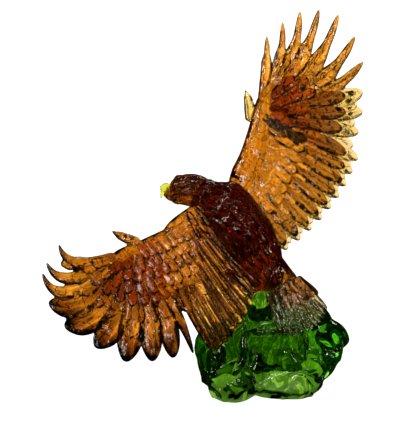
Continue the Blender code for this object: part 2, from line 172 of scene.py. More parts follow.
# The casting's forms.
# The bird is poured in one piece from a carved mould, so it is built of overlapping blades and round limbs,
# fused into one closed skin. Each form carries its own tint, its rim of painted shade and the run of its
# grain.


def smooth(low, high, x):
    """0 at low, 1 at high, eased between."""
    t = min(1.0, max(0.0, (x - low) / (high - low)))
    return t * t * (3 - 2 * t)


def curve_through(stations, t):
    """A value read off a short list of (share, value) stations, eased between them."""
    for (t0, v0), (t1, v1) in zip(stations, stations[1:]):
        if t <= t1:
            return v0 + (v1 - v0) * smooth(t0, t1, t)
    return stations[-1][1]


def catmull(a, b, c, d, f):
    """The point at share f of the way from b to c on a smooth curve that comes from a and goes on to d."""
    square = a * 2 - b * 5 + c * 4 - d
    cube = b * 3 - a - c * 3 + d
    return (b * 2 + (c - a) * f + square * f ** 2 + cube * f ** 3) / 2


def rounded_ends(t, root_round, tip_round):
    """1 along a feather, falling to 0 at its two ends as a round end does."""
    value = 1.0
    if t < root_round:
        value = math.sqrt(max(0.0, 1 - (1 - t / root_round) ** 2))
    if t > 1 - tip_round:
        value = math.sqrt(max(0.0, 1 - (1 - (1 - t) / tip_round) ** 2))
    return value


def form(sides, rings):
    """A ball in a bmesh whose points carry a tint, a share of painted rim shade and a place in the grain."""
    bm = bmesh.new()
    tint = bm.verts.layers.float_color.new("tint")
    rim = bm.verts.layers.float.new("rim")
    grain = bm.verts.layers.float_vector.new("grain")
    bmesh.ops.create_uvsphere(bm, u_segments=sides, v_segments=rings, radius=1)
    return bm, tint, rim, grain


def cast(forms, bm):
    """Adds a finished form to those that will be fused."""
    mesh = bpy.data.meshes.new("form")
    bm.to_mesh(mesh)
    bm.free()
    made = bpy.data.objects.new("form", mesh)
    bpy.context.scene.collection.objects.link(made)
    forms.append(made)


def blend(tints, t):
    """The tint at share t along an evenly spaced row of tints."""
    place = min(t, 0.9999) * (len(tints) - 1)
    i = int(place)
    return tuple(x + (y - x) * (place - i) for x, y in zip(tints[i], tints[i + 1]))


FINGER = ((0.0, 0.6), (0.35, 0.9), (0.58, 1.0), (0.8, 0.5), (1.0, 0.34))
SICKLE = ((0.0, 0.9), (0.3, 1.0), (0.6, 0.85), (1.0, 0.3))
PADDLE = ((0.0, 0.6), (0.35, 0.85), (0.75, 1.0), (1.0, 0.72))
CLEAR = (1.0, 1.0, 1.0, 0.0)


def feather(forms, skin, root, tip, half_width, thickness, shape, knee=(0.5, 0), tilt=0.1, rise=0.0,
            layer=0.0, sides=16, rings=20, tints=(CLEAR, CLEAR), dark=1.0, dark_side=0):
    """One closed blade on a skin from root to tip, both (u, v), its rim darkened by painted shade on both
    sides or one.
    """
    bm, tint, rim, grain = form(sides, rings)
    root, tip = Vector(root), Vector(tip)
    along = tip - root
    length = along.length
    across = Vector((-along.y, along.x)) / length
    knee = root + along * knee[0] + across * knee[1] * length
    tip_round = min(0.45, half_width / length * (1.3 if shape is PADDLE else 1.8))
    own = noise.cell(Vector((root.x * 313, root.y * 271, length * 97))) * 40
    for vert in bm.verts:
        t = (1 - vert.co.z) / 2
        turn = math.atan2(vert.co.y, vert.co.x)
        at_pole = abs(vert.co.z) > 0.9999
        s, k = (0.0, 0.0) if at_pole else (math.cos(turn), math.sin(turn))
        centre = root * (1 - t) ** 2 + knee * 2 * t * (1 - t) + tip * t * t
        heading = ((knee - root) * (1 - t) + (tip - knee) * t).normalized()
        side = Vector((-heading.y, heading.x))
        fullness = rounded_ends(t, 0.08, tip_round)
        width = half_width * curve_through(shape, t) * fullness
        half_thick = thickness / 2 * (1.15 - 0.4 * t) * fullness ** 0.5
        spot = centre + side * s * width
        vert.co = skin.at(spot.x, spot.y, layer + k * half_thick + tilt * s * width + rise * t * t)
        # The painted rim shade runs along the edges and the tip and fades out towards the root. With a
        # dark_side set it is weaker on the other side, and where dark_side is negative it is weaker at the
        # tip too.
        end = smooth(1 - tip_round * 0.8, 1.0, t) * (0.6 if dark_side < 0 else 1)
        edge = max(abs(s) if s * dark_side >= 0 else abs(s) * 0.72, end)
        vert[tint] = blend(tints, t)
        vert[rim] = edge * smooth(0.05, 0.25, t) * dark
        vert[grain] = (t * length, s * width, own)
    cast(forms, bm)


def limb(forms, stations, up, sides=16, rings=14, colours=(CLEAR, CLEAR), dark=0.0):
    """A closed round form along stations of (place, half width, half height), its height towards up."""
    bm, tint, rim, grain = form(sides, rings)
    last = len(stations) - 1
    for vert in bm.verts:
        t = (1 - vert.co.z) / 2 * last
        i = min(int(t), last - 1)
        f = t - i
        here, ahead = stations[i], stations[i + 1]
        before, after = stations[max(0, i - 1)][0], stations[min(last, i + 2)][0]
        centre = catmull(before, here[0], ahead[0], after, f)
        heading = (ahead[0] - here[0]).normalized().lerp((after - before).normalized(), 0.5)
        side = heading.cross(up).normalized()
        top = side.cross(heading).normalized()
        ring = math.hypot(vert.co.x, vert.co.y)
        swell = min(1.0, ring * 1.25) / max(ring, 1e-6)
        half_width = here[1] + (ahead[1] - here[1]) * smooth(0, 1, f)
        half_height = here[2] + (ahead[2] - here[2]) * smooth(0, 1, f)
        vert[tint] = blend(colours, t / last)
        # Painted shade darkens the limb's sides, as strongly as dark.
        vert[rim] = abs(vert.co.x) / max(ring, 1e-6) * dark
        vert[grain] = (t * 0.04, math.atan2(vert.co.y, vert.co.x) * half_width, 0)
        vert.co = centre + (side * vert.co.x * half_width + top * vert.co.y * half_height) * swell
    cast(forms, bm)


class Wing:
    """One wing's sheet: u runs out along the arm, v back to the trailing edge, h up off the dorsal side."""

    def __init__(self, root, wrist, dorsal, camber, curl):
        self.root = root
        self.arm = (wrist - root).length
        self.out = (wrist - root).normalized()
        self.dorsal = dorsal.normalized()
        back = self.dorsal.cross(self.out)
        self.back = back if back.z < 0 else -back
        self.camber = camber
        self.curl = curl

    def at(self, u, v, h):
        """The point in space, with the chord bowed down towards its trailing edge and the tips bowed up."""
        bow = -self.camber * (v / (150 * MM)) ** 2
        if u > self.arm:
            bow += self.curl * ((u - self.arm) / (150 * MM)) ** 2
        return self.root + self.out * u + self.back * v + self.dorsal * (h + bow)

    def from_wrist(self, degrees, reach):
        angle = math.radians(degrees)
        return self.arm + reach * math.cos(angle), reach * math.sin(angle)


class Round:
    """A limb's skin: u runs along it, v round it from its back, h up off it."""

    def __init__(self, stations, up):
        self.stations = stations
        self.up = up
        self.length = sum((b[0] - a[0]).length for a, b in zip(stations, stations[1:]))

    def at(self, u, v, h):
        stations = self.stations
        last = len(stations) - 1
        t = min(last - 0.001, max(0.001, u / self.length * last))
        i = int(t)
        f = t - i
        here, ahead = stations[i], stations[i + 1]
        before, after = stations[max(0, i - 1)][0], stations[min(last, i + 2)][0]
        centre = catmull(before, here[0], ahead[0], after, f)
        heading = (ahead[0] - here[0]).normalized().lerp((after - before).normalized(), 0.5)
        side = heading.cross(self.up).normalized()
        top = side.cross(heading).normalized()
        half_width = here[1] + (ahead[1] - here[1]) * smooth(0, 1, f)
        half_height = here[2] + (ahead[2] - here[2]) * smooth(0, 1, f)
        swell = min(1.0, 1.25 * math.sqrt(1 - (1 - 2 * t / last) ** 2))
        angle = v / max(half_width, half_height)
        return (
            centre
            + side * math.sin(angle) * (half_width * swell + h)
            + top * math.cos(angle) * (half_height * swell + h)
        )


def applied(made):
    """Makes an object's live modifiers part of its mesh."""
    bpy.context.view_layer.update()
    graph = bpy.context.evaluated_depsgraph_get()
    mesh = bpy.data.meshes.new_from_object(made.evaluated_get(graph))
    made.modifiers.clear()
    old, made.data = made.data, mesh
    bpy.data.meshes.remove(old)
    return made


def fused(name, forms, material, voxel, melt):
    """Replaces overlapping forms by the one closed surface round them, softened melt times."""
    made = forms[0]
    with bpy.context.temp_override(active_object=made, selected_editable_objects=forms):
        bpy.ops.object.join()
    made.name = name
    made.data.name = name
    made.data.materials.append(material)
    made.data.remesh_voxel_size = voxel
    made.data.use_remesh_preserve_attributes = True
    made.data.use_remesh_fix_poles = False
    bpy.context.view_layer.objects.active = made
    bpy.ops.object.voxel_remesh()
    soften = made.modifiers.new("melt", "SMOOTH")
    soften.factor = 0.5
    soften.iterations = melt
    applied(made)
    return made


def thinned(made, triangles):
    """Thins a fused surface of quads to about this many triangles."""
    decimate = made.modifiers.new("thin", "DECIMATE")
    decimate.ratio = triangles / (2 * len(made.data.polygons))
    applied(made)


def facing(point, direction, up):
    """A frame at point whose X axis is direction."""
    x = direction.normalized()
    y = up.cross(x).normalized()
    z = x.cross(y)
    return Matrix.Translation(point) @ Matrix((x, y, z)).transposed().to_4x4()


def cut(made, size, place):
    """Cuts a box off an object. The box's low X side, at place, is the face that is left."""
    bm = bmesh.new()
    shape = Matrix.Diagonal((*size, 1)) @ Matrix.Translation((0.5, 0, 0))
    bmesh.ops.create_cube(bm, size=1, matrix=place @ shape)
    mesh = bpy.data.meshes.new("cutter")
    bm.to_mesh(mesh)
    bm.free()
    tool = bpy.data.objects.new("cutter", mesh)
    bpy.context.scene.collection.objects.link(tool)
    boolean = made.modifiers.new("cut", "BOOLEAN")
    boolean.operation = "DIFFERENCE"
    boolean.object = tool
    applied(made)
    bpy.data.objects.remove(tool)


def shade_smooth(made):
    """Shades a piece smooth, but for its cut edges."""
    made.data.shade_smooth()
    made.data.set_sharp_from_angle(angle=math.radians(50))


# The rock.
# A lump of green glass, pulled while it was soft into lobes, ledges and hollows, and ground flat under its
# foot and on the seat that carries the bird.

BOND = 0.3 * MM
SEAT_HEIGHT = 134 * MM
SEAT_RADIUS = 20 * MM
SEAT_CENTRE = Vector((-3, 6, 0)) * MM
ROCK_VOXEL = 2 * MM
ROCK_WAVE_LENGTH = 42 * MM
ROCK_WAVE = 5 * MM
ROCK_FOLD = 46 * MM
ROCK_FOLD_HEIGHT = 2.5 * MM


def from_seat(x, y, z):
    """A point of the bird, in mm from the middle of the seat."""
    return SEAT_CENTRE + Vector((x * MM, y * MM, SEAT_HEIGHT + z * MM))


# Lobes as (middle, half sizes, turn in degrees), soft pulls as (middle, reach, move) and folds as lines of
# (x, y, z, half width), all in mm.
ROCK_LOBES = (
    ((8, 10, 42), (68, 50, 50), 0),
    ((14, -20, 56), (46, 26, 36), 0),
    ((14, -26, 30), (56, 32, 42), 0),
    ((20, -36, 14), (58, 32, 24), 0),
    ((-44, -44, 14), (33, 36, 30), 20),
    ((-64, -20, 36), (27, 36, 34), -15),
    ((-64, -2, 52), (29, 38, 34), -15),
    ((60, 16, 74), (32, 36, 38), 20),
    ((78, 4, 64), (34, 30, 26), -10),
    ((56, -16, 30), (26, 34, 36), 0),
    ((82, -14, 40), (15, 20, 22), 0),
    ((0, 42, 50), (64, 36, 42), 0),
    ((54, 34, 36), (34, 34, 44), 0),
    ((-48, 34, 36), (32, 34, 40), 0),
)
ROCK_PULLS = (
    ((-50, -50, 48), 40, (6, 17, -2)),
    ((-18, -66, 6), 28, (0, 13, 0)),
    ((16, -62, 42), 34, (0, 10, 0)),
    ((62, -36, 54), 30, (-6, 10, 0)),
    ((-34, -34, 84), 22, (-2, -5, 5)),
    ((52, -40, 84), 18, (2, -6, 3)),
    ((98, -8, 30), 30, (-9, 4, 0)),
    ((20, 84, 40), 40, (0, -14, 0)),
    ((-60, 60, 70), 34, (8, -8, 0)),
)
ROCK_RIDGES = (
    ((-28, -38, 112, 4), (-30, -46, 96, 5), (-30, -52, 76, 5), (-34, -62, 54, 5), (-46, -72, 36, 5)),
    ((-26, -42, 86, 4), (-8, -49, 88, 5), (14, -50, 88, 5), (34, -46, 88, 4)),
    ((-40, -76, 14, 5), (-16, -66, 12, 5), (2, -68, 16, 5), (30, -72, 15, 5), (58, -60, 14, 5)),
    ((52, -46, 84, 4), (54, -50, 66, 5), (52, -54, 48, 4)),
    ((90, -20, 78, 4), (98, -20, 58, 5), (90, -30, 36, 5), (76, -42, 18, 5)),
    ((-88, -30, 64, 4), (-90, -34, 44, 5), (-80, -56, 24, 5), (-60, -74, 12, 5)),
)


def ridge(forms, stations):
    """A soft fold of glass along points (x, y, z, half width), all in mm."""
    along = [(Vector(place) * MM, width * MM, width * MM) for *place, width in stations]
    limb(forms, along, Vector((0.3, -0.7, 0.6)), sides=12, rings=24)


def lobe(forms, centre, radii, turn):
    """An ellipsoid of rock, turned about the vertical."""
    place = Matrix.Translation(Vector(centre) * MM) @ Matrix.Rotation(math.radians(turn), 4, "Z")
    shape = Matrix.Diagonal((*[r * MM for r in radii], 1))
    bm = bmesh.new()
    bmesh.ops.create_icosphere(bm, subdivisions=4, radius=1, matrix=place @ shape)
    cast(forms, bm)


def glass(name, roughness, ior, density, absorbed):
    """Clear cast glass that is coloured all through its depth, and lets light through to what it shades."""
    material, tree, shader, output = new_material(name)
    set_inputs(shader, {
        "Base Color": (1, 1, 1, 1),
        "Roughness": roughness,
        "Metallic": 0,
        "Transmission Weight": 1,
        "IOR": ior,
        "Coat Weight": 0.15,
        "Coat Roughness": 0.03,
    })
    depth = add_node(tree, "VolumeAbsorption", {"Color": (*absorbed, 1), "Density": density})
    wire(depth, "Volume", output, "Volume")
    through = add_node(tree, "BsdfTransparent")
    rays = add_node(tree, "LightPath")
    either = add_node(tree, "MixShader")
    wire(rays, "Is Shadow Ray", either, "Fac")
    wire(shader, "BSDF", either, 1)
    wire(through, "BSDF", either, 2)
    wire(either, "Shader", output, "Surface")
    return material, tree, shader


def ripple_group():
    """Waves and pits in the skin of cast glass, as a height."""
    group = bpy.data.node_groups.new("cast ripple", "ShaderNodeTree")
    group.interface.new_socket("Vector", in_out="INPUT", socket_type="NodeSocketVector")
    group.interface.new_socket("Waves per metre", in_out="INPUT", socket_type="NodeSocketFloat")
    group.interface.new_socket("Height", in_out="OUTPUT", socket_type="NodeSocketFloat")
    start = group.nodes.new("NodeGroupInput")
    end = group.nodes.new("NodeGroupOutput")
    waves = add_node(group, "TexNoise", {"Detail": 0.5, "Roughness": 0.4, "Distortion": 0.6})
    wire(start, "Vector", waves, "Vector")
    wire(start, "Waves per metre", waves, "Scale")
    wire(waves, "Fac", end, "Height")


def add_ripple(tree, waves, distance):
    """Puts the cast ripple in a material and gives back its Bump node."""
    place = add_node(tree, "TexCoord")
    ripple = add_node(tree, "Group")
    ripple.node_tree = bpy.data.node_groups["cast ripple"]
    ripple.inputs["Waves per metre"].default_value = waves
    bump = add_node(tree, "Bump", {"Distance": distance, "Strength": 1})
    wire(place, "Object", ripple, "Vector")
    wire(ripple, "Height", bump, "Height")
    return bump


ripple_group()
green_glass, tree, shader = glass("green glass", 0.03, 1.42, 45, (0.55, 0.74, 0.02))
# Swirls of darker and lighter green run through the glass, stretched upright. Their thin bright lime streaks
# are painted highlights.
pulled = add_node(tree, "Mapping", {"Scale": (1, 1, 0.55)})
swirls = add_node(tree, "TexNoise", {"Scale": 32, "Detail": 3, "Distortion": 1.6})
greens = add_node(tree, "ValToRGB")
greens.color_ramp.elements[0].position = 0.36
greens.color_ramp.elements[0].color = (0.03, 0.08, 0.005, 1)
greens.color_ramp.elements[1].position = 0.66
greens.color_ramp.elements[1].color = (0.1, 0.35, 0.03, 1)
for stop, colour in (
    (0.41, (0.08, 0.26, 0.025, 1)),
    (0.44, (0.5, 0.75, 0.1, 1)),
    (0.465, (0.04, 0.11, 0.008, 1)),
    (0.52, (0.09, 0.28, 0.025, 1)),
    (0.55, (0.03, 0.09, 0.006, 1)),
    (0.585, (0.12, 0.34, 0.03, 1)),
    (0.61, (0.6, 0.85, 0.14, 1)),
):
    greens.color_ramp.elements.new(stop).color = colour
place = add_node(tree, "TexCoord")
wire(place, "Object", pulled, "Vector")
wire(pulled, "Vector", swirls, "Vector")
wire(swirls, "Fac", greens, "Fac")
# The outer lobes are a lighter, purer green than the thick middle.
spot = add_node(tree, "SeparateXYZ")
offset = add_node(tree, "Math")
offset.operation = "ABSOLUTE"
edge = add_node(tree, "MapRange", {"From Min": 0.04, "From Max": 0.09, "To Max": 0.75})
edge.interpolation_type = "SMOOTHSTEP"
bright = add_node(tree, "Mix")
bright.data_type = "RGBA"
bright.inputs["B"].default_value = (0.16, 0.85, 0.06, 1)
wire(place, "Object", spot, "Vector")
wire(spot, "X", offset, 0)
wire(offset, "Value", edge, "Value")
wire(edge, "Result", bright, "Factor")
wire(greens, "Color", bright, "A")
# Dark streaks gather towards the foot.
low = add_node(tree, "MapRange", {"From Max": 0.055, "To Min": -2.4, "To Max": -0.6})
streaks = add_node(tree, "Math")
streaks.operation = "MULTIPLY_ADD"
streaks.use_clamp = True
streaks.inputs[1].default_value = 4
grounded = add_node(tree, "Mix")
grounded.data_type = "RGBA"
grounded.inputs["A"].default_value = (0.012, 0.05, 0.003, 1)
wire(spot, "Z", low, "Value")
wire(swirls, "Fac", streaks, 0)
wire(low, "Result", streaks, 2)
wire(streaks, "Value", grounded, "Factor")
wire(bright, "Result", grounded, "B")
wire(grounded, "Result", shader, "Base Color")
bump = add_ripple(tree, 46, 0.008)
wire(bump, "Normal", shader, "Normal")

forms = []
for centre, radii, turn in ROCK_LOBES:
    lobe(forms, centre, radii, turn)
limb(
    forms,
    (
        (Vector((6, 6, 40)) * MM, 46 * MM, 40 * MM),
        (Vector((2, 6, 88)) * MM, 34 * MM, 28 * MM),
        (from_seat(0, 0, 14), SEAT_RADIUS * 1.15, SEAT_RADIUS * 1.15),
    ),
    Vector((0, -1, 0)),
    sides=32,
    rings=28,
)
for stations in ROCK_RIDGES:
    ridge(forms, stations)
rock = fused("glass_rock", forms, green_glass, ROCK_VOXEL, melt=10)
normals = [vert.normal.copy() for vert in rock.data.vertices]
for vert, normal in zip(rock.data.vertices, normals):
    place = vert.co.copy()
    for centre, reach, move in ROCK_PULLS:
        near = (place - Vector(centre) * MM).length / (reach * MM)
        vert.co += Vector(move) * MM * (1 - smooth(0, 1, near))
    waves = Vector((place.x, place.y, place.z * 0.5)) / ROCK_WAVE_LENGTH
    calm = smooth(SEAT_HEIGHT, SEAT_HEIGHT * 0.75, place.z)
    vert.co += normal * ROCK_WAVE * noise.noise(waves) * calm
    fold = max(0.0, 1 - abs(noise.noise(Vector((place.x, place.y, place.z * 0.6)) / ROCK_FOLD)) * 6)
    vert.co += normal * ROCK_FOLD_HEIGHT * fold ** 1.5 * calm
cut(rock, (0.1, 0.4, 0.4), facing(Vector(), Vector((0, 0, -1)), Vector((0, 1, 0))))
cut(rock, (0.1, 0.2, 0.2), facing(from_seat(0, 0, 0), Vector((0, 0, 1)), Vector((0, 1, 0))))
shade_smooth(rock)
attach(rock, "root")
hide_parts("rock_base")


# The eagle.
# One casting of amber glass: body, head and both wings with their flight feathers and coverts. Thin feathers
# let light through as gold, and the thick body is a red that is almost black.

EAGLE_VOXEL = 1.35 * MM
EAGLE_TRIANGLES = 185000
HEAD_PLACE = from_seat(-108, 35, 124)
HEAD_LENGTH = 44 * MM
HEAD_HEIGHT = 40 * MM
HEAD_WIDTH = 32 * MM
BEAK_LENGTH = 14 * MM
BEAK_DROP = 18 * MM
BEAK_WIDTH = 11 * MM
BODY_STATIONS = (
    (from_seat(-103, 35, 122), 14 * MM, 18 * MM),
    (from_seat(-79, 30, 116), 24 * MM, 25 * MM),
    (from_seat(-52, 20, 102), 38 * MM, 36 * MM),
    (from_seat(-24, 5, 68), 37 * MM, 37 * MM),
    (from_seat(-3, -6, 40), 30 * MM, 30 * MM),
    (from_seat(15, -15, 17), 24 * MM, 21 * MM),
)
BACK_NORMAL = Vector((0.44, -0.70, 0.57)).normalized()
FAR_WING = Wing(
    root=from_seat(-54, 48, 138),
    wrist=from_seat(-18, 111, 215),
    dorsal=Vector((0.34, -0.80, 0.50)),
    camber=12 * MM,
    curl=8 * MM,
)
NEAR_WING = Wing(
    root=from_seat(-94, 5, 102),
    wrist=from_seat(-177, -66, 79),
    dorsal=Vector((0.46, -0.71, 0.53)),
    camber=14 * MM,
    curl=9 * MM,
)
# A hand's flight feathers: angle off the arm, reach from the wrist, half width, shape and where each bends.
FAR_PRIMARIES = (
    (-9, 113, 8, FINGER, (0.5, 0.09)),
    (-2, 141, 9, FINGER, (0.5, 0.18)),
    (4, 168, 11, FINGER, (0.5, 0.2)),
    (11, 187, 11, FINGER, (0.5, 0.17)),
    (18.5, 202, 12, FINGER, (0.5, 0.21)),
    (29.5, 202, 13, FINGER, (0.5, 0.21)),
    (40, 195, 14, FINGER, (0.5, 0.18)),
    (52, 179, 14, PADDLE, (0.5, 0.05)),
    (61, 174, 13, PADDLE, (0.5, 0)),
    (71, 167, 13, PADDLE, (0.5, 0)),
)
FAR_FINGERS = 7
NEAR_PRIMARIES = (
    (-21, 101, 9, SICKLE, (0.87, 0.46)),
    (-10, 126, 10, SICKLE, (0.92, 0.42)),
    (-5, 138, 11, SICKLE, (1.0, 0.5)),
    (9, 152, 16, PADDLE, (0.7, 0.36)),
    (22, 157, 18, PADDLE, (0.6, 0.32)),
    (40, 154, 19, PADDLE, (0.5, 0.22)),
    (57, 158, 19, PADDLE, (0.5, 0.1)),
    (72, 156, 17, PADDLE, (0.5, 0.1)),
    (84, 158, 15, PADDLE, (0.5, 0.16)),
    (95, 165, 9, SICKLE, (0.5, 0.12)),
)
NEAR_SICKLES = 3
# The inner feathers: how many, their first and last tips (u, u, v, v) and where they spring from the arm.
FAR_SECONDARIES = (9, 125, -50, 172, 120, 0.94, 0.1)
NEAR_SECONDARIES = (10, 63, -28, 175, 128, 0.7, 0.04)


def quills(wing, fan, row):
    """The lines that the flight feathers lie on, (root, tip) from the leading edge in to the body."""
    lines = []
    last = len(fan) - 1
    for i, (degrees, reach, *_) in enumerate(fan):
        share = i / last
        root = Vector((wing.arm + (22 - 22 * share) * MM, (9 + 12 * share) * MM))
        lines.append((root, Vector(wing.from_wrist(degrees, reach * MM))))
    count, first_u, last_u, first_v, last_v, first_root, last_root = row
    for i in range(count):
        share = i / (count - 1)
        root = Vector((wing.arm * (first_root + (last_root - first_root) * share), 24 * MM))
        tip = ((first_u + (last_u - first_u) * share) * MM, (first_v + (last_v - first_v) * share ** 2) * MM)
        lines.append((root, Vector(tip)))
    return lines


def flight_feathers(forms, wing, fan, row, thick, half_width, fold, tints, rims):
    """The long feathers, with those next to the body folded a little higher."""
    lines = quills(wing, fan, row)
    for i, (root, tip) in enumerate(lines):
        dark, dark_side = rims(i)
        if i < len(fan):
            _, _, width, shape, knee = fan[i]
            feather(forms, wing, root, tip, width * MM, thick[0], shape, knee=knee, rise=3 * MM, sides=18,
                    rings=28, tints=tints(i), dark=dark, dark_side=dark_side)
        else:
            share = (i - len(fan)) / (row[0] - 1)
            lifted = fold * 0.5 * share ** 2
            feather(forms, wing, root, tip, half_width, thick[1], PADDLE, knee=(0.5, -0.03), rise=lifted,
                    layer=1.5 * MM + lifted, sides=18, rings=28, tints=tints(i), dark=dark,
                    dark_side=dark_side)


def covert_row(forms, wing, lines, distance, length, half_width, spacing, layer, tints, first, last=99):
    """One row of scale feathers across the flight feathers first to last, all its sizes in mm."""
    distance, length, half_width, spacing, layer = (
        size * MM for size in (distance, length, half_width, spacing, layer)
    )
    ways = [(tip - root).normalized() for root, tip in lines]
    places = [root + way * distance for (root, _), way in zip(lines, ways)]
    gaps = [(b - a).length for a, b in zip(places, places[1:])]
    along = spacing * first
    total = sum(gaps)
    while along < total:
        i, rest = 0, along
        while rest > gaps[i]:
            rest -= gaps[i]
            i += 1
        share = rest / gaps[i]
        if i + share > last:
            break
        place = places[i].lerp(places[i + 1], share)
        way = ways[i].lerp(ways[i + 1], share).normalized()
        sway = noise.noise(Vector((along * 90, distance * 70, 0.5)))
        own = tuple(zone(stops, i + share + sway) for stops in tints)
        root, tip = place - way * length * 0.25, place + way * length * (0.85 + 0.12 * sway)
        feather(forms, wing, root, tip, half_width, 4.5 * MM, PADDLE, tilt=0.12, rise=1.2 * MM,
                layer=layer + 0.5 * MM * sway, sides=14, rings=14, tints=own, dark=1.1)
        along += spacing * (1 + 0.12 * sway)


def arm(forms, wing, leading, tint):
    """The thick leading edge, shoulder to wrist and out along the hand, and the sheet behind it."""
    points = (
        (wing.at(-14 * MM, 22 * MM, 0), 20 * MM, 10 * MM),
        (wing.at(wing.arm * 0.45, leading + 18 * MM, 1 * MM), 18 * MM, 8.5 * MM),
        (wing.at(wing.arm, leading * 0.5 + 15 * MM, 1.5 * MM), 15 * MM, 7.5 * MM),
        (wing.at(wing.arm + 48 * MM, 11 * MM, 1.5 * MM), 9 * MM, 5.5 * MM),
    )
    limb(forms, points, wing.dorsal, sides=24, rings=24, colours=(tint, tint))
    web = (
        (wing.at(-20 * MM, 50 * MM, 0), 40 * MM, 7 * MM),
        (wing.at(wing.arm * 0.6, 55 * MM, 0), 40 * MM, 6 * MM),
        (wing.at(wing.arm * 1.3, 40 * MM, 0), 34 * MM, 5 * MM),
    )
    limb(forms, web, wing.dorsal, sides=24, rings=20, colours=(tint, tint))


def thumb(forms, wing, degrees, reach, tints):
    feather(forms, wing, (wing.arm - 14 * MM, 6 * MM), wing.from_wrist(degrees, reach * MM), 8 * MM, 8 * MM,
            SICKLE, knee=(0.6, 0.1), layer=3 * MM, tints=tints)


def tail_frame():
    """Unit vectors of the tail's fan: down it at 0 degrees, to its right and up off its back."""
    down = Vector((0.0, -0.515, -0.857)).normalized()
    lift = Vector((0.26, -0.84, 0.48)).normalized()
    right = down.cross(lift).normalized()
    if right.x < 0:
        right = -right
    return down, right, right.cross(down) * (1 if right.cross(down).dot(lift) > 0 else -1)


def tail_direction(degrees):
    down, right, _ = tail_frame()
    angle = math.radians(degrees)
    return down * math.cos(angle) + right * math.sin(angle)


TAIL_FEATHERS = 12
TAIL_HUB = from_seat(-10, -8, 69)
TAIL_FIRST_ANGLE = 15
TAIL_LAST_ANGLE = 48
TAIL_ROOT_RADIUS = 56 * MM
TAIL_REACH = 141 * MM
TAIL_ROUNDING = 9 * MM
TAIL_FEATHER_WIDTH = 9.5 * MM
TAIL_THICKNESS = 8 * MM
TAIL_JOINT_RADIUS = 70 * MM
TAIL_MIDDLE = (TAIL_FIRST_ANGLE + TAIL_LAST_ANGLE) / 2

# Tints of the glass skin, with how strongly the streaks run through each.
GOLD = (0.85, 0.36, 0.06, 0.3)
AMBER = (0.28, 0.07, 0.007, 0.45)
BROWN = (0.26, 0.075, 0.01, 0.8)
RUST = (0.26, 0.028, 0.004, 0.4)
HONEY = (0.6, 0.225, 0.025, 0.4)
RED = (0.19, 0.012, 0.003, 0.4)
UMBER = (0.12, 0.025, 0.005, 0.35)
STRAW = (0.93, 0.7, 0.42, 0.08)
MAROON = (0.5, 0.075, 0.014, 0.7)
SHADOW = (0.006, 0.002, 0.001, 0.8)
TAWNY = (0.75, 0.36, 0.1, 0.7)


def zone(stops, q):
    """The tint for a feather that hangs from quill q, blended between stops of (quill, tint)."""
    for (q0, a), (q1, b) in zip(stops, stops[1:]):
        if q <= q1:
            return blend((a, b), max(0.0, (q - q0) / (q1 - q0)))
    return stops[-1][1]


def body(forms):
    colours = (BROWN, MAROON, MAROON, MAROON, TAWNY)
    limb(forms, BODY_STATIONS, BACK_NORMAL, sides=32, rings=32, colours=colours)
    belly = (
        (from_seat(-23, 8, 51), 26 * MM, 26 * MM),
        (from_seat(-7, 2, 21), 26 * MM, 25 * MM),
        (from_seat(0, 0, -12), SEAT_RADIUS, SEAT_RADIUS),
    )
    limb(forms, belly, Vector((0, -1, 0)), sides=24, rings=20, colours=(MAROON, MAROON))
    _, _, lift = tail_frame()
    middle = tail_direction(TAIL_MIDDLE)
    rump = (
        (TAIL_HUB - lift * 16 * MM, 18 * MM, 20 * MM),
        (TAIL_HUB + middle * TAIL_JOINT_RADIUS * 0.65 - lift * 4 * MM, 20 * MM, 16 * MM),
        (TAIL_HUB + middle * TAIL_JOINT_RADIUS * 1.15, 24 * MM, 7 * MM),
    )
    limb(forms, rump, lift, sides=24, rings=20, colours=(MAROON, TAWNY, TAWNY))
    skin = Round(BODY_STATIONS, BACK_NORMAL)
    row = 0
    u = 14 * MM
    while u < skin.length - 16 * MM:
        v = -100 * MM + (6 * MM if row % 2 else 0)
        share = u / skin.length
        if share < 0.25:
            tint = blend((BROWN, MAROON), share / 0.25)
        else:
            tint = MAROON if share < 0.75 else TAWNY
        while v < 100 * MM:
            feather(forms, skin, (u, v), (u + 22 * MM, v), 6.2 * MM, 4.0 * MM, PADDLE, tilt=0, rise=1.6 * MM,
                    layer=-0.8 * MM, sides=10, rings=10, tints=(tint, SHADOW), dark=0.9)
            v += 12 * MM
        u += 13 * MM
        row += 1


